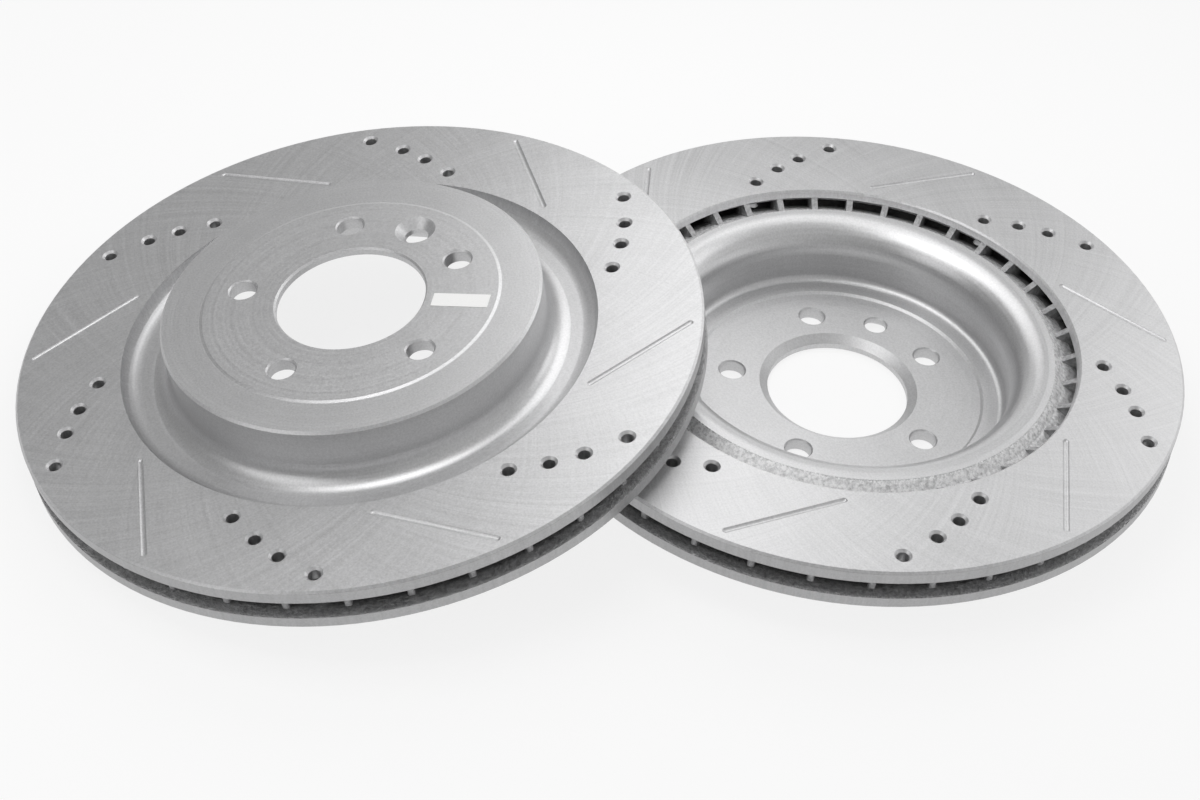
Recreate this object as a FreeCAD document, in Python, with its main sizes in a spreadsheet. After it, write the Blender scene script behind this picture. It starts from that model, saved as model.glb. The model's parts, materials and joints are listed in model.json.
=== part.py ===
import FreeCAD, Part
import math
import os

import Sketcher
from FreeCAD import Placement, Rotation, Vector

os.makedirs("parts", exist_ok=True)
doc = FreeCAD.newDocument("brake_disc_pair")

# A pair of identical ventilated brake discs. Each disc is drawn hat up in its own frame: the axis is Z,
# the inboard friction face is at 0, the outboard friction face at ring_thickness and the hat above it.
# Every size below is a length in millimetres or an angle in degrees.
SIZES = [
    ("ring_radius", 182.5, "outside radius of both friction rings"),
    ("ring_thickness", 25.0, "over both friction faces"),
    ("rim_chamfer", 1.2, "bevel on the outer edge of each friction face"),
    ("rim_edge", 7.2, "plate thickness at the rim"),
    ("plate", 8.0, "plate thickness inside the rim"),
    ("flare_width", 6.5, "width of the flare on each plate's inner face, at the rim"),
    ("hat_inner_radius", 93.0, "drum surface inside the hat"),
    ("hat_wall", 7.5, "wall of the hat"),
    ("hat_rise", 24.0, "wheel seat above the outboard friction face"),
    ("hat_edge", 1.3, "bevel on the hat's outer edge"),
    ("hat_fillet", 4.0, "fillet inside the hat"),
    ("valley_inner_arc", 11.0, "groove round the hat, radius towards the hat"),
    ("valley_floor", 6.5, "flat bottom of the groove"),
    ("valley_outer_arc", 9.0, "groove radius towards the ring, and its depth"),
    ("bulge", 17.5, "radius of the rounded inner corner of the neck"),
    ("crest_flat", 3.1, "flat crest of the neck, seen from inboard"),
    ("crest_height", 4.4, "crest above the inboard face"),
    ("cast_run", 5.0, "from the crest out to the inner end of each vane"),
    ("cast_rise", 4.2, "how far the cast slope climbs on the way"),
    ("seam_drop", 3.8, "seam of shoulder and outboard plate, below the plate's inner face"),
    ("cast_reach", 7.0, "from the ring's inner edge out to where the cast slope meets the plate"),
    ("lip_setback", 0.1, "inner edge of the inboard face, outside that of the outboard face"),
    ("lip_bevel", 1.0, "bevel on that edge"),
    ("throat_draft", 0.7, "how far the machined inner wall leans in"),
    ("throat_height", 4.6, "foot of that wall above the inboard face"),
    ("mouth_flare", 3.1, "how far the cast flare behind that wall reaches out"),
    ("flange", 8.0, "mounting flange, seat to seat"),
    ("hub_seat_margin", 13.3, "from the drum surface in to the hub seat"),
    ("hub_seat_step", 1.5, "slope of the step round the hub seat"),
    ("hub_seat_drop", 1.2, "depth of that step"),
    ("wheel_seat_margin", 22.6, "from the outside of the hat in to the wheel seat"),
    ("wheel_seat_step", 1.6, "slope of the step round the wheel seat"),
    ("wheel_seat_drop", 0.5, "depth of that step"),
    ("bore_radius", 39.5, "centring bore"),
    ("bore_edge", 1.0, "bevel on the wheel side of the bore"),
    ("bore_cone_width", 4.9, "deep bevel on the hub side"),
    ("bore_cone", 3.8, "depth of that bevel"),
    ("vane_count", 37, "vanes all the way round"),
    ("vane_angle", 5.2, "first vane"),
    ("vane_thickness", 3.6, "each vane"),
    ("vane_setback", 4.0, "from the rim in to the nose of each vane"),
    ("vane_nose", 1.5, "rounding of the nose"),
    ("vane_nose_slope", 1.6, "how far the nose stays off each plate"),
    ("group_angle", 20.0, "outermost drilled hole of the first group"),
    ("group_count", 6, "groups of drilled holes, and slots"),
    ("group_step", 6, "vane pitches from one group to the next"),
    ("slot_step", 3, "vane pitches from a group to its slot"),
    ("drill_radius", 3.2, "drilled holes"),
    ("drill_bevel", 1.3, "their countersinks"),
    ("drill_rim_margin", 12.2, "from the rim in to the outermost hole of a group"),
    ("drill_inner_margin", 11.9, "from the ring's inner edge out to the innermost hole"),
    ("drill_share_two", 0.637, "second hole, on the way from the innermost to the outermost"),
    ("drill_share_three", 0.344, "third hole, on the same way"),
    ("drill_lag_two", 7.03, "angle behind the outermost hole"),
    ("drill_lag_three", 12.65, "angle behind the outermost hole"),
    ("drill_lag_four", 19.42, "angle behind the outermost hole"),
    ("slot_rim_margin", 7.1, "from the rim in to the outer end of each slot"),
    ("slot_inner_margin", 7.4, "from the ring's inner edge out to its inner end"),
    ("slot_lag", 19.2, "angle of its inner end behind the outer end"),
    ("slot_cutter", 2.0, "radius of the round slot bottom"),
    ("slot_depth", 0.9, "depth of each slot"),
    ("lug_count", 5, "wheel bolt holes"),
    ("lug_circle", 60.0, "their pitch circle radius"),
    ("lug_radius", 7.2, "each bolt hole"),
    ("lug_bevel", 0.9, "bevel on its wheel side"),
    ("lug_back", 0.7, "bevel on its hub side"),
    ("lug_angle", 9.0, "first bolt hole; the retaining screw hole is midway to the next"),
    ("screw_radius", 6.3, "retaining screw hole"),
    ("screw_bevel", 4.7, "its countersink"),
    ("label_length", 30.0, "blank paper label"),
    ("label_width", 9.8, "its width"),
    ("label_height", 0.2, "its thickness"),
    ("label_angle", 336.0, "place round the wheel seat"),
    ("label_circle", 59.3, "distance of its middle from the axis"),
    ("centre_gap", 262.0, "from one disc's axis to the other, along the floor"),
    ("rest_gap", 0.388, "clearance where the left disc leans on the right disc's rim"),
    ("left_spin", 7.3, "turn of the left disc about its own axis"),
    ("right_spin", 102.1, "turn of the right disc about its own axis"),
]

sheet = doc.addObject("Spreadsheet::Sheet", "Dims")
sheet.Label = "Dims"
for row, (alias, value, note) in enumerate(SIZES, start=1):
    sheet.set("A%d" % row, alias)
    sheet.set("B%d" % row, repr(value))
    sheet.setAlias("B%d" % row, alias)
    sheet.set("C%d" % row, note)
doc.recompute()


class Size:
    """A length or an angle: its number and the expression that ties it to the sheet."""

    def __init__(self, value, text):
        self.value = value
        self.text = text

    def join(self, other, sign, result):
        other = other if isinstance(other, Size) else Size(other, repr(other))
        return Size(result(self.value, other.value), "(%s %s %s)" % (self.text, sign, other.text))

    def __add__(self, other):
        return self.join(other, "+", lambda a, b: a + b)

    def __sub__(self, other):
        return self.join(other, "-", lambda a, b: a - b)

    def __mul__(self, other):
        return self.join(other, "*", lambda a, b: a * b)

    def __truediv__(self, other):
        return self.join(other, "/", lambda a, b: a / b)


def dim(alias):
    return Size(float(sheet.get(alias)), "Dims." + alias)


def cosine(angle):
    return Size(math.cos(math.radians(angle.value)), "cos(%s)" % angle.text)


def sine(angle):
    return Size(math.sin(math.radians(angle.value)), "sin(%s)" % angle.text)


def polar(circle, angle):
    return circle * cosine(angle), circle * sine(angle)


NOTHING = Size(0.0, "0")
FULL_TURN = Size(360.0, "360")


def vane_pitch():
    """The angle from one vane to the next."""
    return FULL_TURN / dim("vane_count")


def overall_height():
    """The wheel seat, which is the highest face of the disc."""
    return dim("ring_thickness") + dim("hat_rise")


def hub_seat_height():
    return overall_height() - dim("flange")


def shelf_height():
    """The inside of the hat face, outside the hub seat."""
    return hub_seat_height() - dim("hub_seat_drop")


def corner_height():
    """Where the hat wall meets the hat face's rounded inner corner."""
    return shelf_height() - dim("hat_fillet")


def hat_outer_radius():
    return dim("hat_inner_radius") + dim("hat_wall")


def groove_centres():
    """Centres of the two arcs of the groove round the hat, as (radius, height)."""
    low = valley_height()
    inner = (hat_outer_radius() + dim("valley_inner_arc"), low + dim("valley_inner_arc"))
    outer = (inner[0] + dim("valley_floor"), low + dim("valley_outer_arc"))
    return inner, outer


def valley_height():
    """The bottom of the groove round the hat."""
    return dim("ring_thickness") - dim("valley_outer_arc")


def ring_inner_radius():
    """The inner edge of the outboard friction face."""
    return groove_centres()[1][0] + dim("valley_outer_arc")


def cast_slope():
    """The shoulder's cast underside, from the crest to the outboard plate, as (radius, height)."""
    crest = (dim("hat_inner_radius") + dim("bulge") + dim("crest_flat"), dim("crest_height"))
    vane_end = (crest[0] + dim("cast_run"), crest[1] + dim("cast_rise"))
    ceiling = dim("ring_thickness") - dim("plate")
    seam = (ring_inner_radius(), ceiling - dim("seam_drop"))
    top = (ring_inner_radius() + dim("cast_reach"), ceiling)
    return crest, vane_end, seam, top


def throat():
    """The machined inner wall of the inboard plate and the cast flare behind it, as (radius, height)."""
    edge = (ring_inner_radius() + dim("lip_setback"), NOTHING)
    bevel = (edge[0] - dim("lip_bevel"), dim("lip_bevel"))
    foot = (bevel[0] - dim("throat_draft"), dim("throat_height"))
    mouth = (foot[0] + dim("mouth_flare"), dim("plate"))
    return edge, bevel, foot, mouth


def flare_radius():
    """Where the plates' cast inner faces start to flare towards the rim."""
    return dim("ring_radius") - dim("flare_width")


def origin_feature(body, role):
    return [f for f in body.Origin.OriginFeatures if f.Role == role][0]


def new_sketch(body, name, plane, height=None):
    sketch = body.newObject("Sketcher::SketchObject", name)
    sketch.AttachmentSupport = [(origin_feature(body, plane), "")]
    sketch.MapMode = "FlatFace"
    if height is not None:
        sketch.AttachmentOffset = Placement(Vector(0, 0, height.value), Rotation())
        sketch.setExpression("AttachmentOffset.Base.z", height.text)
    return sketch


def pin_point(sketch, geo, point, x, y):
    """Hold a point at x, y, each bound to the sheet."""
    for kind, size, axis in (("DistanceX", x, -2), ("DistanceY", y, -1)):
        if size.value == 0:
            sketch.addConstraint(Sketcher.Constraint("PointOnObject", geo, point, axis))
        else:
            index = sketch.addConstraint(Sketcher.Constraint(kind, -1, 1, geo, point, size.value))
            sketch.setExpression("Constraints[%d]" % index, size.text)


def draw_profile(sketch, corners):
    """Closed outline. Each corner is (x, y) or (x, y, radius, centre x, centre y) for an arc to the next."""
    ends = []
    for i, corner in enumerate(corners):
        following = corners[(i + 1) % len(corners)]
        start = Vector(corner[0].value, corner[1].value, 0)
        end = Vector(following[0].value, following[1].value, 0)
        if len(corner) == 2:
            geo = sketch.addGeometry(Part.LineSegment(start, end), False)
            ends.append((geo, 1, 2))
            continue
        centre = Vector(corner[3].value, corner[4].value, 0)
        first = math.atan2(start.y - centre.y, start.x - centre.x)
        last = math.atan2(end.y - centre.y, end.x - centre.x)
        forward = (last - first) % (2 * math.pi) < math.pi
        circle = Part.Circle(centre, Vector(0, 0, 1), corner[2].value)
        arc = Part.ArcOfCircle(circle, first, last) if forward else Part.ArcOfCircle(circle, last, first)
        geo = sketch.addGeometry(arc, False)
        ends.append((geo, 1, 2) if forward else (geo, 2, 1))
        index = sketch.addConstraint(Sketcher.Constraint("Radius", geo, corner[2].value))
        sketch.setExpression("Constraints[%d]" % index, corner[2].text)
    for i, (geo, start_point, end_point) in enumerate(ends):
        after = ends[(i + 1) % len(ends)]
        sketch.addConstraint(Sketcher.Constraint("Coincident", geo, end_point, after[0], after[1]))
        pin_point(sketch, geo, start_point, corners[i][0], corners[i][1])


def turned_body(name, corners):
    """A body made by turning an outline of (radius, height) corners about the disc's axis."""
    body = doc.addObject("PartDesign::Body", name)
    body.Label = name
    sketch = new_sketch(body, name + "_section", "XZ_Plane")
    draw_profile(sketch, corners)
    turn = body.newObject("PartDesign::Revolution", name + "_turned")
    turn.Profile = sketch
    turn.ReferenceAxis = (sketch, ["V_Axis"])
    turn.Angle = 360.0
    sketch.Visibility = False
    doc.recompute()
    body.Tip = turn
    return body


def drilled(body, name, centres, radius, sink_radius, height, upwards):
    """Holes right through the body, countersunk on the face at this height."""
    before = body.Shape.Volume
    sketch = new_sketch(body, name + "_centres", "XY_Plane", height)
    for x, y in centres:
        circle = Part.Circle(Vector(x.value, y.value, 0), Vector(0, 0, 1), radius.value)
        geo = sketch.addGeometry(circle, False)
        pin_point(sketch, geo, 3, x, y)
        index = sketch.addConstraint(Sketcher.Constraint("Radius", geo, radius.value))
        sketch.setExpression("Constraints[%d]" % index, radius.text)
    doc.recompute()
    hole = body.newObject("PartDesign::Hole", name)
    hole.Profile = sketch
    hole.DepthType = "ThroughAll"
    hole.Reversed = upwards
    hole.setExpression("Diameter", "2 * " + radius.text)
    hole.HoleCutType = "Countersink"
    hole.setExpression("HoleCutDiameter", "2 * " + sink_radius.text)
    hole.HoleCutCountersinkAngle = 90.0
    doc.recompute()
    body.Tip = hole
    doc.recompute()
    if body.Shape.Volume >= before:
        raise RuntimeError(name + " cuts nothing")
    return hole


def slot_cuts(body, name, face, inwards):
    """Straight slots with a round bottom and round ends, each turned about a line just off the face."""
    angle = dim("group_angle") + dim("slot_step") * vane_pitch()
    outer = polar(dim("ring_radius") - dim("slot_rim_margin"), angle)
    inner = polar(ring_inner_radius() + dim("slot_inner_margin"), angle - dim("slot_lag"))
    rise = dim("slot_cutter") - dim("slot_depth")
    height = face + rise if inwards < 0 else face - rise
    before = body.Shape.Volume
    sketch = new_sketch(body, name + "_half", "XY_Plane", height)
    draw_half_slot(sketch, inner, outer, dim("slot_cutter"))
    cut = body.newObject("PartDesign::Groove", name)
    cut.Profile = sketch
    cut.ReferenceAxis = (sketch, ["Axis0"])
    cut.Angle = 360.0
    sketch.Visibility = False
    doc.recompute()
    body.Tip = cut
    doc.recompute()
    around(body, name + "_pattern", cut, dim("group_count"), group_spread(), before)


def draw_half_slot(sketch, inner, outer, radius):
    """Half the slot's outline: its centre line, a quarter circle round each end and the side between them."""
    start = Vector(inner[0].value, inner[1].value, 0)
    end = Vector(outer[0].value, outer[1].value, 0)
    along = (end - start).normalize() * radius.value
    aside = Vector(-along.y, along.x, 0)
    course = math.atan2(along.y, along.x)
    quarter = 0.5 * math.pi

    def corner(middle, first):
        circle = Part.Circle(middle, Vector(0, 0, 1), radius.value)
        return sketch.addGeometry(Part.ArcOfCircle(circle, first, first + quarter), False)

    middle_line = sketch.addGeometry(Part.LineSegment(start - along, end + along), False)
    axis = sketch.addGeometry(Part.LineSegment(start, end), True)
    far_end = corner(end, course)
    side = sketch.addGeometry(Part.LineSegment(end + aside, start + aside), False)
    near_end = corner(start, course + quarter)
    for one, one_point, other, other_point in ((middle_line, 2, far_end, 1), (near_end, 2, middle_line, 1),
                                               (far_end, 3, axis, 2), (near_end, 3, axis, 1)):
        sketch.addConstraint(Sketcher.Constraint("Coincident", one, one_point, other, other_point))
    sketch.addConstraint(Sketcher.Constraint("Tangent", far_end, 2, side, 1))
    sketch.addConstraint(Sketcher.Constraint("Tangent", side, 2, near_end, 1))
    for arc in (far_end, near_end):
        sketch.addConstraint(Sketcher.Constraint("PointOnObject", arc, 3, middle_line))
        index = sketch.addConstraint(Sketcher.Constraint("Radius", arc, radius.value))
        sketch.setExpression("Constraints[%d]" % index, radius.text)
    pin_point(sketch, axis, 1, *inner)
    pin_point(sketch, axis, 2, *outer)


def group_spread():
    """The angle from the first group to the last: equal steps, with one wider gap left over."""
    return dim("group_step") * vane_pitch() * (dim("group_count") - 1)


def around(body, name, feature, count, angle, before):
    """Repeat a feature about the disc's axis, and see that every copy adds or cuts as much as the first."""
    first = body.Shape.Volume - before
    pattern = body.newObject("PartDesign::PolarPattern", name)
    pattern.Originals = [feature]
    pattern.Axis = (origin_feature(body, "Z_Axis"), [""])
    pattern.setExpression("Angle", angle.text)
    pattern.setExpression("Occurrences", count.text)
    body.Tip = pattern
    doc.recompute()
    whole = body.Shape.Volume - before
    if abs(first) < 0.01 or abs(whole - first * count.value) > 0.01 * abs(whole):
        raise RuntimeError("%s: one gives %.2f, all give %.2f" % (name, first, whole))
    return pattern


def friction_cuts(body, name, face, upwards):
    """The drilled holes and slots of one friction ring."""
    outermost = dim("ring_radius") - dim("drill_rim_margin")
    innermost = ring_inner_radius() + dim("drill_inner_margin")
    row = outermost - innermost
    second = innermost + row * dim("drill_share_two")
    third = innermost + row * dim("drill_share_three")
    circles = [outermost, second, third, innermost]
    lags = [NOTHING] + [dim("drill_lag_" + n) for n in ("two", "three", "four")]
    centres = [polar(circle, dim("group_angle") - lag) for circle, lag in zip(circles, lags)]
    before = body.Shape.Volume
    sink = dim("drill_radius") + dim("drill_bevel")
    hole = drilled(body, name + "_holes", centres, dim("drill_radius"), sink, face, upwards)
    around(body, name + "_hole_pattern", hole, dim("group_count"), group_spread(), before)
    slot_cuts(body, name + "_slot", face, 1 if upwards else -1)


def inboard_ring(name):
    edge, bevel, foot, mouth = throat()
    corners = [
        edge,
        (dim("ring_radius") - dim("rim_chamfer"), NOTHING),
        (dim("ring_radius"), dim("rim_chamfer")),
        (dim("ring_radius"), dim("rim_edge")),
        (flare_radius(), dim("plate")),
        mouth,
        foot,
        bevel,
    ]
    body = turned_body(name, corners)
    friction_cuts(body, name, NOTHING, True)
    return body


def valley_split():
    """The point of the groove's outer arc where the shoulder ends and the outboard plate begins."""
    centre = groove_centres()[1]
    along = dim("valley_outer_arc") * Size(math.sqrt(0.5), "sqrt(0.5)")
    return centre[0] + along, centre[1] - along


def outboard_ring(name):
    top = dim("ring_thickness")
    crest, vane_end, seam, slope_top = cast_slope()
    corners = [
        (ring_inner_radius(), top, dim("valley_outer_arc")) + groove_centres()[1],
        valley_split(),
        seam,
        slope_top,
        (flare_radius(), top - dim("plate")),
        (dim("ring_radius"), top - dim("rim_edge")),
        (dim("ring_radius"), top - dim("rim_chamfer")),
        (dim("ring_radius") - dim("rim_chamfer"), top),
    ]
    body = turned_body(name, corners)
    friction_cuts(body, name, top, False)
    return body


def bulge_centre():
    """Centre of the neck's rounded inner corner, as (radius, height)."""
    return dim("hat_inner_radius") + dim("bulge"), dim("crest_height") + dim("bulge")


def neck(name):
    """The curve from the hat wall round to the bottom of the groove."""
    inner_centre, outer_centre = groove_centres()
    rounding = bulge_centre()
    corners = [
        (rounding[0], dim("crest_height")),
        (inner_centre[0], valley_height(), dim("valley_inner_arc")) + inner_centre,
        (hat_outer_radius(), inner_centre[1]),
        (dim("hat_inner_radius"), inner_centre[1]),
        (dim("hat_inner_radius"), rounding[1], dim("bulge")) + rounding,
    ]
    return turned_body(name, corners)


def shoulder(name):
    """From the bottom of the groove out to the ring, with the crest and the cast slope below."""
    inner_centre, outer_centre = groove_centres()
    crest, vane_end, seam, slope_top = cast_slope()
    corners = [
        (bulge_centre()[0], dim("crest_height")),
        crest,
        vane_end,
        seam,
        valley_split() + (dim("valley_outer_arc"),) + outer_centre,
        (outer_centre[0], valley_height()),
        (inner_centre[0], valley_height()),
    ]
    return turned_body(name, corners)


def hat_wall(name):
    low = groove_centres()[0][1]
    corners = [
        (dim("hat_inner_radius"), low),
        (hat_outer_radius(), low),
        (hat_outer_radius(), corner_height()),
        (dim("hat_inner_radius"), corner_height()),
    ]
    return turned_body(name, corners)


def hat_face(name):
    top = overall_height()
    rim_top = top - dim("wheel_seat_drop")
    outside = hat_outer_radius()
    wheel_seat = outside - dim("wheel_seat_margin")
    hub_seat = dim("hat_inner_radius") - dim("hub_seat_margin")
    fillet_centre = (dim("hat_inner_radius") - dim("hat_fillet"), corner_height())
    corners = [
        (dim("hat_inner_radius"), corner_height()),
        (outside, corner_height()),
        (outside, rim_top - dim("hat_edge")),
        (outside - dim("hat_edge"), rim_top),
        (wheel_seat + dim("wheel_seat_step"), rim_top),
        (wheel_seat, top),
        (dim("bore_radius") + dim("bore_edge"), top),
        (dim("bore_radius"), top - dim("bore_edge")),
        (dim("bore_radius"), hub_seat_height() + dim("bore_cone")),
        (dim("bore_radius") + dim("bore_cone_width"), hub_seat_height()),
        (hub_seat, hub_seat_height()),
        (hub_seat + dim("hub_seat_step"), shelf_height()),
        (fillet_centre[0], shelf_height(), dim("hat_fillet")) + fillet_centre,
    ]
    body = turned_body(name, corners)
    before = body.Shape.Volume
    lug = drilled(body, name + "_lug", [polar(dim("lug_circle"), dim("lug_angle"))],
                  dim("lug_radius"), dim("lug_radius") + dim("lug_bevel"), top, False)
    around(body, name + "_lugs", lug, dim("lug_count"), FULL_TURN, before)
    midway = dim("lug_angle") + FULL_TURN / dim("lug_count") * 0.5
    drilled(body, name + "_screw", [polar(dim("lug_circle"), midway)],
            dim("screw_radius"), dim("screw_radius") + dim("screw_bevel"), top, False)
    doc.recompute()
    base = body.Tip
    hole_radii = [dim("lug_radius").value, dim("screw_radius").value]
    edges = []
    for number, edge in enumerate(base.Shape.Edges, start=1):
        curve = edge.Curve
        if not isinstance(curve, Part.Circle) or abs(curve.Center.z - hub_seat_height().value) > 0.01:
            continue
        if min(abs(curve.Radius - radius) for radius in hole_radii) < 0.01:
            edges.append("Edge%d" % number)
    bevel = body.newObject("PartDesign::Chamfer", name + "_back_bevels")
    bevel.Base = (base, edges)
    bevel.setExpression("Size", "Dims.lug_back")
    body.Tip = bevel
    doc.recompute()
    return body


def vanes(name):
    """Straight radial vanes: a turned ring that fills the space between the plates, cut into thin bars."""
    top = dim("ring_thickness") - dim("plate")
    edge, bevel, foot, mouth = throat()
    crest, vane_end, seam, slope_top = cast_slope()
    outer = dim("ring_radius") - dim("vane_setback")
    corners = [
        foot,
        mouth,
        (flare_radius(), dim("plate")),
        (outer, dim("plate") + dim("vane_nose_slope")),
        (outer, top - dim("vane_nose_slope")),
        (flare_radius(), top),
        slope_top,
        seam,
        vane_end,
    ]
    ring = turned_body(name + "_ring", corners)
    bars = doc.addObject("PartDesign::Body", name + "_bars")
    bars.AllowCompound = True
    sketch = new_sketch(bars, name + "_plan", "XY_Plane")
    half = dim("vane_thickness") * 0.5
    nose = dim("vane_nose")
    inner = crest[0]
    tip = half - nose
    side = NOTHING - half
    low_tip = NOTHING - tip
    draw_profile(sketch, [
        (inner, side),
        (outer - nose, side, nose, outer - nose, low_tip),
        (outer, low_tip),
        (outer, tip, nose, outer - nose, tip),
        (outer - nose, half),
        (inner, half),
    ])
    pad = bars.newObject("PartDesign::Pad", name + "_bar")
    pad.Profile = sketch
    pad.setExpression("Length", "Dims.ring_thickness")
    bars.Tip = pad
    doc.recompute()
    around(bars, name + "_all", pad, dim("vane_count"), FULL_TURN, 0.0)
    bars.Placement = Placement(Vector(0, 0, 0), Rotation(Vector(0, 0, 1), dim("vane_angle").value))
    common = doc.addObject("Part::Common", name)
    common.Label = name
    common.Base = ring
    common.Tool = bars
    doc.recompute()
    return common


def label(name):
    body = doc.addObject("PartDesign::Body", name)
    body.Label = name
    sketch = new_sketch(body, name + "_outline", "XY_Plane", overall_height())
    half_length = dim("label_length") * 0.5
    half_width = dim("label_width") * 0.5
    middle = dim("label_circle")
    draw_profile(sketch, [
        (middle - half_length, NOTHING - half_width),
        (middle + half_length, NOTHING - half_width),
        (middle + half_length, half_width),
        (middle - half_length, half_width),
    ])
    pad = body.newObject("PartDesign::Pad", name + "_paper")
    pad.Profile = sketch
    pad.setExpression("Length", "Dims.label_height")
    body.Tip = pad
    doc.recompute()
    return body


PIECES = [
    ("hat_face", hat_face),
    ("hat_wall", hat_wall),
    ("neck", neck),
    ("shoulder", shoulder),
    ("outboard_ring", outboard_ring),
    ("vanes", vanes),
    ("inboard_ring", inboard_ring),
]



def resting_lean(foot, lip, height, gap):
    """The tilt, in radians, at which the left disc's inner lip just clears the right disc's upper rim.

    The left disc stands on the floor with its lower rim, foot away from its axis. Seen from above, its
    lip crosses the right disc's rim at a point that lies crossing along the slope from its axis.
    """
    lean = 0.0
    for _ in range(50):
        drop = crossing_drop(lean, foot, lip, gap)
        lean = math.asin(height / (foot + drop))
    return lean


def crossing_drop(lean, foot, lip, gap):
    """How far from the left disc's axis, along its slope, its lip crosses the right disc's rim."""
    crossing = 0.5 * gap
    for _ in range(50):
        flat = gap * gap + lip * lip - foot * foot - (crossing * math.sin(lean)) ** 2
        crossing = flat / (2 * gap * math.cos(lean))
    return crossing


# The right disc lies flat, hat down. The left disc leans: its lower rim stands on the floor and its
# inner lip rests on the right disc's rim. The row's origin is on the floor under the middle of the pair.
rim = dim("ring_radius").value
foot = rim - dim("rim_chamfer").value
shoulder = dim("ring_thickness").value - dim("rim_chamfer").value
gap = dim("centre_gap").value
lip = throat()[0][0].value
lean = resting_lean(foot, lip, overall_height().value + dim("rest_gap").value, gap)
left_edge = -gap - rim * math.cos(lean) - shoulder * math.sin(lean)
middle = 0.5 * (left_edge + rim)
left_place = Placement(
    Vector(-gap - middle, 0, foot * math.sin(lean)),
    Rotation(Vector(0, 1, 0), -math.degrees(lean)) * Rotation(Vector(0, 0, 1), dim("left_spin").value),
)
right_place = Placement(
    Vector(-middle, 0, overall_height().value),
    Rotation(Vector(0, 0, 1), dim("right_spin").value) * Rotation(Vector(1, 0, 0), 180),
)
print("lean %.4f degrees" % math.degrees(lean))

nodes = []
for side, place in (("left", left_place), ("right", right_place)):
    for piece, make in PIECES:
        part = make(side + "_" + piece)
        part.Placement = place
        nodes.append(part)
paper = label("left_label")
turn = Rotation(Vector(0, 0, 1), dim("label_angle").value)
paper.Placement = left_place * Placement(Vector(0, 0, 0), turn)
nodes.append(paper)
doc.recompute()

for item in doc.Objects:
    if "Invalid" in item.State or "Error" in item.State:
        raise RuntimeError("failed object: %s %s" % (item.Name, item.State))
for part in nodes:
    shape = part.Shape
    if shape.isNull() or not shape.isValid():
        raise RuntimeError("bad shape: " + part.Label)
for part in nodes:
    part.Shape.exportStep("parts/%s.step" % part.Label)
    box = part.Shape.BoundBox
    print("%-22s solids %3d volume %10.1f  x %8.2f %8.2f  y %8.2f %8.2f  z %7.2f %7.2f" % (
        part.Label, len(part.Shape.Solids), part.Shape.Volume,
        box.XMin, box.XMax, box.YMin, box.YMax, box.ZMin, box.ZMax))
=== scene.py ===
import json
import math

import bpy
from mathutils import Matrix, Vector

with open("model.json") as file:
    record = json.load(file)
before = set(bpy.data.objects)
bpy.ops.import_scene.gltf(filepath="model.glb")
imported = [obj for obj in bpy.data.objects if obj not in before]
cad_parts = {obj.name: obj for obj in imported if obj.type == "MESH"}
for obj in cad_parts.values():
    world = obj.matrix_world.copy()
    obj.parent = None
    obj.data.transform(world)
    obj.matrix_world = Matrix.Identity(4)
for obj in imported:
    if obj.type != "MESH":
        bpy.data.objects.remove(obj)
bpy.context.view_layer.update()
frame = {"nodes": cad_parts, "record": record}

# Each disc's own frame, in millimetres: the axis is Z, the inboard friction face is at 0 and the hat is up.
MILLIMETRE = 0.001
RING_THICKNESS = 25.0
PLATE = 8.0
BORE_HEIGHT = 46.4
SCREW_ANGLE = 45.0
CREST_RADIUS = 113.6
LIP_RADIUS = 127.1
VALLEY_HEIGHT = 16.0
RIM_RADIUS = 182.5

# The one camera that fits the photograph best: metres, degrees, and millimetres for its lens and sensor.
CAMERA_PLACE = (-0.15523, -0.83780, 0.76970)
CAMERA_TURN = (47.846, -3.820, -6.867)
CAMERA_LENS = 62.14
SENSOR_WIDTH = 36.0

# Colours, and tones that multiply them.
WHITE = (1.0, 1.0, 1.0, 1.0)
COATING = (0.60, 0.60, 0.605)
CAST_COATING = (0.46, 0.46, 0.465)
# The shoulder's cast slope: the same cast coating painted about twice as light, as painted light that lifts
# the slope out of its shade.
SHOULDER_CAST_COATING_PAINTED_LIGHT = (0.92, 0.92, 0.925)
# Cast iron deep in the vents, painted near black: partly the bare iron's own colour, partly painted shade.
BARE_IRON_AND_PAINTED_SHADE = (0.055, 0.054, 0.053)
PAPER = (0.90, 0.90, 0.89)
RIM_EDGE_TONE = 0.72
PIT_TONES = (0.6, 1.25)
FIBRE_TONES = (0.965, 1.02)

# How metallic and how rough the surfaces are.
METALLIC = 0.9
SATIN = 0.43
GROOVE_SATIN = 0.35
CAST_ROUGHNESS = (0.5, 0.68)
PAPER_ROUGHNESS = 0.62
LINE_ROUGHNESS = 0.04
GRAIN_ROUGHNESS = 0.03

# How coarse each texture is, in millimetres.
HATCH_CIRCLE = 150.0
GROUND_LINE_SIZE = 2.4
GROUND_PATCH_SIZE = 60.0
TURNED_LINE_SIZE = 1.3
GRAIN_SIZE = 1.1
CLOUD_SIZE = 22.0
PIT_SIZE = 2.2
FIBRE_SIZE = 0.6

# How strongly each texture shows: as a share of the colour, and as relief in millimetres.
GROUND_LINE_TONE = 0.10
GROUND_LINE_DEPTH = 0.05
TURNED_LINE_TONE = 0.03
TURNED_LINE_DEPTH = 0.015
GRAIN_TONE = 0.09
GRAIN_DEPTH = 0.05
CLOUD_TONE = 0.02
PIT_DEPTH = 0.8
SHOULDER_PIT_DEPTH = 0.35
FIBRE_DEPTH = 0.03

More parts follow.
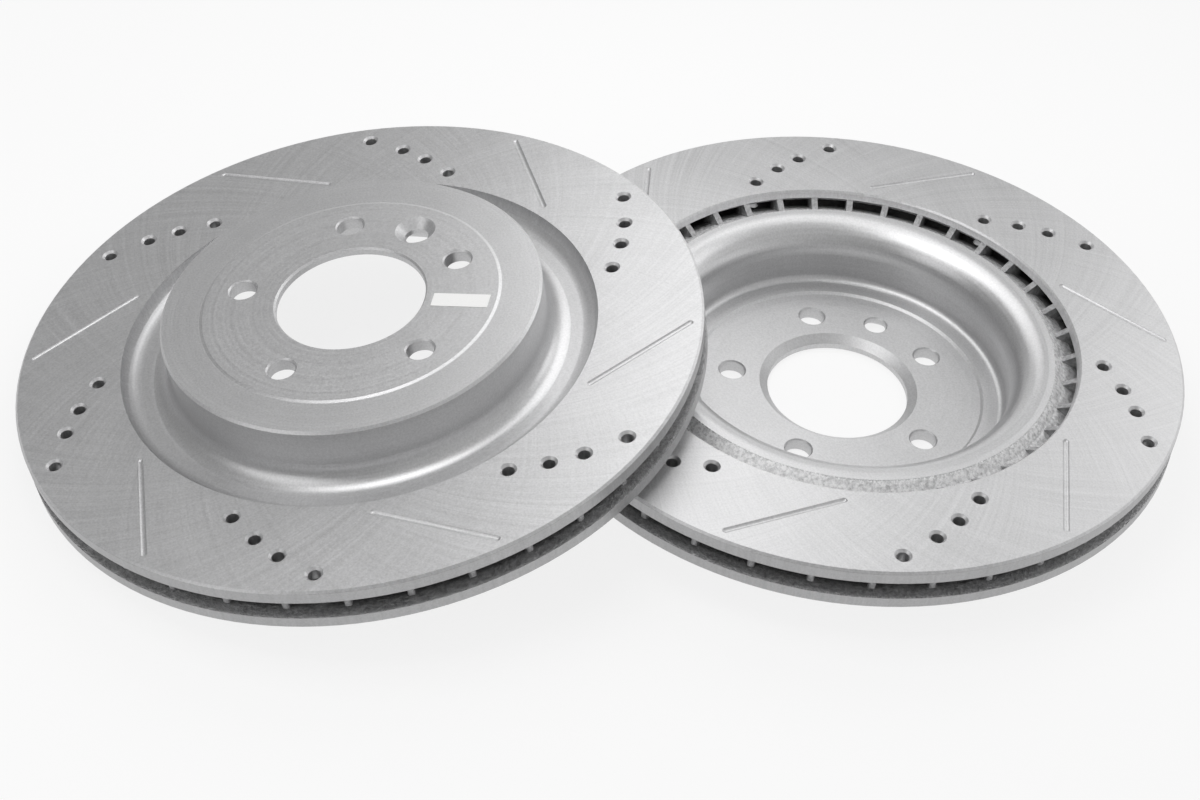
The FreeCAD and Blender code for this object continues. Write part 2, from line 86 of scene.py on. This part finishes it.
# Where rough casting gives way to machined iron, where the outer edge turns darker, and where cast iron
# deep in the vents is painted near black, partly bare iron and partly painted shade, in millimetres from
# the edges named above.
RIM_EDGE = (-0.2, -0.05)
BARE_AND_SHADE_INSIDE = (1.0, 8.0)
BARE_AND_SHADE_OUTSIDE = (-14.0, -4.0)
PLATE_EDGE = (0.6, 0.95)
PLATE_RAGGED = 0.15
CREST_EDGE = (0.0, 0.8)
CREST_RAGGED = 0.5
VALLEY_EDGE = (-2.2, -1.2)

# The floor, and how bright the surroundings are, where 1 is white.
FLOOR_REACH = 6.0
FLOOR_COLOUR = (0.9, 0.9, 0.9, 1.0)
FLOOR_GLOW = 0.8
SKY_LEFT = 0.30
SKY_RIGHT = 0.59
SKY_SWEEP = 0.64
SKY_TURN = (-0.75, 0.65)
SWEEP_HEIGHT = (0.12, 0.5)
SWEEP_SIDE = 0.6
SWEEP_TURN = (-0.2, 0.8)

# Each lamp: name, place, the point it faces, width and height, all in metres, and power in watts.
LAMPS = (
    ("left_key", (0.06, 0.27, 0.46), (-0.02, -0.05, 0.05), 0.36, 0.36, 0.60),
    ("right_key", (0.60, 0.28, 0.48), (0.25, -0.05, 0.05), 0.36, 0.36, 0.48),
    ("top", (-0.35, 0.0, 1.2), (-0.15, -0.05, 0.05), 0.7, 0.7, 4.0),
    ("fill", (-1.2, -0.6, 0.9), (0.0, 0.0, 0.05), 1.0, 1.0, 3.0),
)


def disc_place(side):
    """A disc's frame in the row's, from its bore's axis and the screw hole beside it."""
    mounts = {mount["name"]: mount for mount in frame["record"]["mounts"]}
    bore = mounts[side + "_bore"]
    screw = Vector(mounts[side + "_screw_hole"]["pos_m"])
    up = -Vector(bore["axis"]).normalized()
    origin = Vector(bore["pos_m"]) - up * BORE_HEIGHT * MILLIMETRE
    across = screw - origin
    across = (across - up * across.dot(up)).normalized()
    x_axis = Matrix.Rotation(math.radians(-SCREW_ANGLE), 3, up) @ across
    turn = Matrix((x_axis, up.cross(x_axis), up)).transposed()
    return origin, turn


class Shader:
    """The node tree of a material or world, with short calls for the sums in it."""

    def __init__(self, owner):
        owner.use_nodes = True
        self.owner = owner
        self.tree = owner.node_tree
        self.tree.nodes.clear()

    def add(self, kind, **settings):
        node = self.tree.nodes.new(kind)
        for key, value in settings.items():
            setattr(node, key, value)
        return node

    def feed(self, socket, value):
        """Give a socket a number, a colour or another node's output."""
        if isinstance(value, bpy.types.NodeSocket):
            self.tree.links.new(value, socket)
        else:
            socket.default_value = value

    def sum(self, operation, *values):
        node = self.add("ShaderNodeMath", operation=operation)
        for socket, value in zip(node.inputs, values):
            self.feed(socket, value)
        return node.outputs[0]

    def vector(self, x, y):
        node = self.add("ShaderNodeCombineXYZ")
        self.feed(node.inputs["X"], x)
        self.feed(node.inputs["Y"], y)
        return node.outputs[0]

    def split(self, vector):
        node = self.add("ShaderNodeSeparateXYZ")
        self.feed(node.inputs[0], vector)
        return node.outputs

    def step(self, value, low, high):
        """0 below low, 1 above high, smooth between."""
        node = self.add("ShaderNodeMapRange", interpolation_type="SMOOTHSTEP")
        for socket, given in zip(node.inputs, (value, low, high)):
            self.feed(socket, given)
        return node.outputs[0]

    def fall(self, value, low, high):
        """1 below low, 0 above high, smooth between."""
        return self.sum("SUBTRACT", 1.0, self.step(value, low, high))

    def spread(self, noise, low, high, reach=0.2):
        """Noise stretched from its middle part, 0.5 and this reach to each side, to a range of its own."""
        node = self.add("ShaderNodeMapRange")
        for socket, given in zip(node.inputs, (noise, 0.5 - reach, 0.5 + reach, low, high)):
            self.feed(socket, given)
        return node.outputs[0]

    def noise(self, vector, size, detail=2.0, roughness=0.5):
        """Noise whose largest blotches are about this size, in the vector's units."""
        node = self.add("ShaderNodeTexNoise", noise_dimensions="3D")
        self.feed(node.inputs["Vector"], vector)
        node.inputs["Scale"].default_value = 1.0 / size
        node.inputs["Detail"].default_value = detail
        node.inputs["Roughness"].default_value = roughness
        return node.outputs["Fac"]

    def mix_colour(self, share, first, second):
        node = self.add("ShaderNodeMix", data_type="RGBA")
        self.feed(node.inputs[0], share)
        for socket, colour in ((node.inputs[6], first), (node.inputs[7], second)):
            self.feed(socket, colour if isinstance(colour, bpy.types.NodeSocket) else (*colour, 1.0))
        return node.outputs[2]

    def blend(self, share, first, second):
        """Between two numbers: the first where share is 0, the second where it is 1."""
        node = self.add("ShaderNodeMix", data_type="FLOAT")
        for socket, given in ((node.inputs[0], share), (node.inputs[2], first), (node.inputs[3], second)):
            self.feed(socket, given)
        return node.outputs[0]

    def tint(self, colour, factor):
        """A colour made lighter or darker by a factor."""
        node = self.add("ShaderNodeVectorMath", operation="SCALE")
        self.feed(node.inputs[0], colour)
        self.feed(node.inputs["Scale"], factor)
        return node.outputs[0]

    def bump(self, height, depth, normal=None):
        """Relief of this depth in millimetres."""
        node = self.add("ShaderNodeBump")
        self.feed(node.inputs["Height"], height)
        node.inputs["Distance"].default_value = depth * MILLIMETRE
        if normal is not None:
            self.feed(node.inputs["Normal"], normal)
        return node.outputs[0]

    def surface(self, colour, roughness, normal, metallic):
        shader = self.add("ShaderNodeBsdfPrincipled")
        self.feed(shader.inputs["Base Color"], colour)
        self.feed(shader.inputs["Roughness"], roughness)
        self.feed(shader.inputs["Normal"], normal)
        self.feed(shader.inputs["Metallic"], metallic)
        output = self.add("ShaderNodeOutputMaterial")
        self.feed(output.inputs["Surface"], shader.outputs[0])
        return self.owner


def new_shader(name):
    return Shader(bpy.data.materials.new(name))


def disc_coordinates(shader, place):
    """A point in the disc's own frame, in millimetres: the point, its radius, angle and height."""
    origin, turn = place
    mapping = shader.add("ShaderNodeMapping", vector_type="TEXTURE")
    mapping.inputs["Location"].default_value = origin
    mapping.inputs["Rotation"].default_value = turn.to_euler()
    mapping.inputs["Scale"].default_value = (MILLIMETRE, MILLIMETRE, MILLIMETRE)
    shader.feed(mapping.inputs["Vector"], shader.add("ShaderNodeTexCoord").outputs["Object"])
    point = mapping.outputs[0]
    x, y, height = shader.split(point)
    squares = shader.sum("ADD", shader.sum("MULTIPLY", x, x), shader.sum("MULTIPLY", y, y))
    radius = shader.sum("SQRT", squares)
    angle = shader.sum("ARCTAN2", y, x)
    return point, radius, angle, height


def cross_hatch(shader, radius, angle, lean):
    """Fine grinding lines that cross the ring on a slant, one family of the cross-hatch."""
    swept = shader.sum("MULTIPLY_ADD", shader.sum("LOGARITHM", radius, math.e), lean, angle)
    around = shader.vector(shader.sum("MULTIPLY", shader.sum("COSINE", swept), HATCH_CIRCLE),
                           shader.sum("MULTIPLY", shader.sum("SINE", swept), HATCH_CIRCLE))
    return shader.noise(around, GROUND_LINE_SIZE, detail=3.0, roughness=0.62)


def ground_lines(shader, point, radius, angle):
    """Both families of the cross-hatch, one stronger here and the other there."""
    one = cross_hatch(shader, radius, angle, 1.0)
    two = cross_hatch(shader, radius, angle, -1.0)
    patches = shader.noise(point, GROUND_PATCH_SIZE, detail=1.0)
    return shader.blend(shader.spread(patches, 0.2, 0.8, reach=0.15), one, two)


def turned_lines(shader, radius, height):
    """Faint lines that run round the axis, as a lathe leaves them on a turned face."""
    return shader.noise(shader.vector(radius, height), TURNED_LINE_SIZE, detail=3.0, roughness=0.6)


def coated_iron(name, place, ground, cast_mask, satin=SATIN,
                cast_colour_and_painted_light=CAST_COATING, pit_depth=PIT_DEPTH):
    """Silver coated iron: machined where cast_mask is 0 and rough as cast where it is 1."""
    shader = new_shader(name)
    point, radius, angle, height = disc_coordinates(shader, place)
    grain = shader.noise(point, GRAIN_SIZE, detail=2.0, roughness=0.7)
    cloud = shader.noise(point, CLOUD_SIZE, detail=2.0)
    pits = shader.noise(point, PIT_SIZE, detail=5.0, roughness=0.7)
    if ground:
        lines = ground_lines(shader, point, radius, angle)
        line_tone = GROUND_LINE_TONE
        line_depth = GROUND_LINE_DEPTH
    else:
        lines = turned_lines(shader, radius, height)
        line_tone = TURNED_LINE_TONE
        line_depth = TURNED_LINE_DEPTH
    cast = cast_mask(shader, radius, height, grain)
    machined = shader.sum("SUBTRACT", 1.0, cast)

    tone = shader.sum("ADD", shader.spread(lines, 1.0 - line_tone, 1.0 + line_tone),
                      shader.spread(grain, -GRAIN_TONE, GRAIN_TONE))
    tone = shader.sum("ADD", tone, shader.spread(cloud, -CLOUD_TONE, CLOUD_TONE))
    edge = shader.step(radius, RIM_RADIUS + RIM_EDGE[0], RIM_RADIUS + RIM_EDGE[1])
    tone = shader.sum("MULTIPLY", tone, shader.blend(edge, 1.0, RIM_EDGE_TONE))
    smooth_colour = shader.tint(COATING, tone)
    # On the shoulder this rough colour is painted light: the cast coating made about twice as light.
    rough_colour = shader.tint(cast_colour_and_painted_light, shader.spread(pits, *PIT_TONES, reach=0.18))
    # Deep in the vents the cast iron is painted near black: partly bare iron, partly painted shade.
    inside = shader.step(radius, LIP_RADIUS + BARE_AND_SHADE_INSIDE[0], LIP_RADIUS + BARE_AND_SHADE_INSIDE[1])
    outside = shader.fall(radius, RIM_RADIUS + BARE_AND_SHADE_OUTSIDE[0], RIM_RADIUS + BARE_AND_SHADE_OUTSIDE[1])
    bare_iron_and_painted_shade = shader.sum("MULTIPLY", inside, outside)
    rough_colour = shader.mix_colour(bare_iron_and_painted_shade, rough_colour, BARE_IRON_AND_PAINTED_SHADE)
    colour = shader.mix_colour(cast, smooth_colour, rough_colour)

    smooth = shader.sum("ADD", shader.spread(lines, satin - LINE_ROUGHNESS, satin + LINE_ROUGHNESS),
                        shader.spread(grain, -GRAIN_ROUGHNESS, GRAIN_ROUGHNESS))
    roughness = shader.blend(cast, smooth, shader.spread(pits, *CAST_ROUGHNESS))

    normal = shader.bump(shader.sum("MULTIPLY", lines, machined), line_depth)
    normal = shader.bump(shader.sum("MULTIPLY", grain, machined), GRAIN_DEPTH, normal)
    normal = shader.bump(shader.sum("MULTIPLY", pits, cast), pit_depth, normal)
    return shader.surface(colour, roughness, normal, METALLIC)


def never_cast(shader, radius, height, grain):
    """Machined all over."""
    return 0.0


def always_cast(shader, radius, height, grain):
    """Rough as cast all over."""
    return 1.0


def cast_between_plates(shader, radius, height, grain):
    """The inner side of a friction ring: from the plate's edge into the vent gap."""
    level = shader.sum("ADD", height, shader.spread(grain, -PLATE_RAGGED, PLATE_RAGGED))
    near, far = PLATE_EDGE
    above = shader.step(level, PLATE - far, PLATE - near)
    below = shader.fall(level, RING_THICKNESS - PLATE + near, RING_THICKNESS - PLATE + far)
    return shader.sum("MULTIPLY", above, below)


def cast_slope_of_shoulder(shader, radius, height, grain):
    """The underside of the shoulder, outside its crest, where the vanes spring from."""
    reach = shader.sum("ADD", radius, shader.spread(grain, -CREST_RAGGED, CREST_RAGGED))
    outside = shader.step(reach, CREST_RADIUS + CREST_EDGE[0], CREST_RADIUS + CREST_EDGE[1])
    under = shader.fall(height, VALLEY_HEIGHT + VALLEY_EDGE[0], VALLEY_HEIGHT + VALLEY_EDGE[1])
    return shader.sum("MULTIPLY", outside, under)


def paper():
    """Plain matt label stock."""
    shader = new_shader("paper")
    point = shader.add("ShaderNodeTexCoord").outputs["Object"]
    fibres = shader.noise(point, FIBRE_SIZE * MILLIMETRE, detail=4.0, roughness=0.7)
    colour = shader.tint(PAPER, shader.spread(fibres, *FIBRE_TONES))
    return shader.surface(colour, PAPER_ROUGHNESS, shader.bump(fibres, FIBRE_DEPTH), 0.0)


def dress(node, material):
    slots = frame["nodes"][node].data.materials
    slots.clear()
    slots.append(material)


def dress_disc(side):
    place = disc_place(side)
    friction = coated_iron(side + "_friction", place, True, cast_between_plates)
    machined = coated_iron(side + "_machined", place, False, never_cast)
    groove = coated_iron(side + "_groove", place, False, never_cast, GROOVE_SATIN)
    # The shoulder's cast slope gets painted light: a cast coating about twice as light as on the rest of
    # the casting.
    shoulder = coated_iron(side + "_shoulder_coat", place, False, cast_slope_of_shoulder, SATIN,
                           SHOULDER_CAST_COATING_PAINTED_LIGHT, SHOULDER_PIT_DEPTH)
    casting = coated_iron(side + "_casting", place, False, always_cast)
    for piece, material in (("hat_face", machined), ("hat_wall", machined), ("neck", groove),
                            ("shoulder", shoulder), ("outboard_ring", friction), ("inboard_ring", friction),
                            ("vanes", casting)):
        dress("%s_%s" % (side, piece), material)


def studio_floor():
    """A plain white floor that still takes the discs' shadow."""
    mesh = bpy.data.meshes.new("floor")
    reach = FLOOR_REACH
    corners = [(-reach, -reach, 0), (reach, -reach, 0), (reach, reach, 0), (-reach, reach, 0)]
    mesh.from_pydata(corners, [], [(0, 1, 2, 3)])
    floor = bpy.data.objects.new("floor", mesh)
    bpy.context.scene.collection.objects.link(floor)
    shader = new_shader("floor_white")
    rays = shader.add("ShaderNodeLightPath")
    seen = shader.sum("MAXIMUM", rays.outputs["Is Camera Ray"], rays.outputs["Is Glossy Ray"])
    diffuse = shader.add("ShaderNodeBsdfDiffuse")
    diffuse.inputs["Color"].default_value = FLOOR_COLOUR
    glow = shader.add("ShaderNodeEmission")
    mix = shader.add("ShaderNodeMixShader")
    output = shader.add("ShaderNodeOutputMaterial")
    shader.feed(mix.inputs[0], shader.sum("MULTIPLY", seen, FLOOR_GLOW))
    shader.feed(mix.inputs[1], diffuse.outputs[0])
    shader.feed(mix.inputs[2], glow.outputs[0])
    shader.feed(output.inputs["Surface"], mix.outputs[0])
    mesh.materials.append(shader.owner)


def studio_world():
    """Soft surroundings, dimmer on the left and brighter low at the back, and white behind the discs."""
    world = bpy.data.worlds.new("studio")
    bpy.context.scene.world = world
    shader = Shader(world)
    x, y, height = shader.split(shader.add("ShaderNodeTexCoord").outputs["Generated"])
    side = shader.sum("MULTIPLY_ADD", shader.step(x, *SKY_TURN), SKY_RIGHT - SKY_LEFT, SKY_LEFT)
    low = shader.fall(height, *SWEEP_HEIGHT)
    behind = shader.step(shader.sum("MULTIPLY_ADD", y, SWEEP_SIDE, x), *SWEEP_TURN)
    level = shader.sum("MULTIPLY_ADD", shader.sum("MULTIPLY", low, behind), SKY_SWEEP, side)
    rays = shader.add("ShaderNodeLightPath")
    background = shader.add("ShaderNodeBackground")
    background.inputs["Color"].default_value = WHITE
    shader.feed(background.inputs["Strength"], shader.blend(rays.outputs["Is Camera Ray"], level, 1.0))
    output = shader.add("ShaderNodeOutputWorld")
    shader.feed(output.inputs["Surface"], background.outputs[0])


def softbox(name, place, target, width, height, power):
    light = bpy.data.lights.new(name, "AREA")
    light.shape = "RECTANGLE"
    light.size = width
    light.size_y = height
    light.energy = power
    lamp = bpy.data.objects.new(name, light)
    lamp.visible_camera = False
    bpy.context.scene.collection.objects.link(lamp)
    lamp.location = place
    lamp.rotation_euler = (Vector(target) - Vector(place)).to_track_quat("-Z", "Y").to_euler()


def studio_camera():
    data = bpy.data.cameras.new("camera")
    data.lens = CAMERA_LENS
    data.sensor_width = SENSOR_WIDTH
    camera = bpy.data.objects.new("camera", data)
    camera.location = CAMERA_PLACE
    camera.rotation_euler = [math.radians(angle) for angle in CAMERA_TURN]
    bpy.context.scene.collection.objects.link(camera)
    bpy.context.scene.camera = camera


for side in ("left", "right"):
    dress_disc(side)
dress("left_label", paper())
studio_floor()
studio_world()
studio_camera()
for lamp in LAMPS:
    softbox(*lamp)
bpy.context.scene.view_settings.view_transform = "Standard"
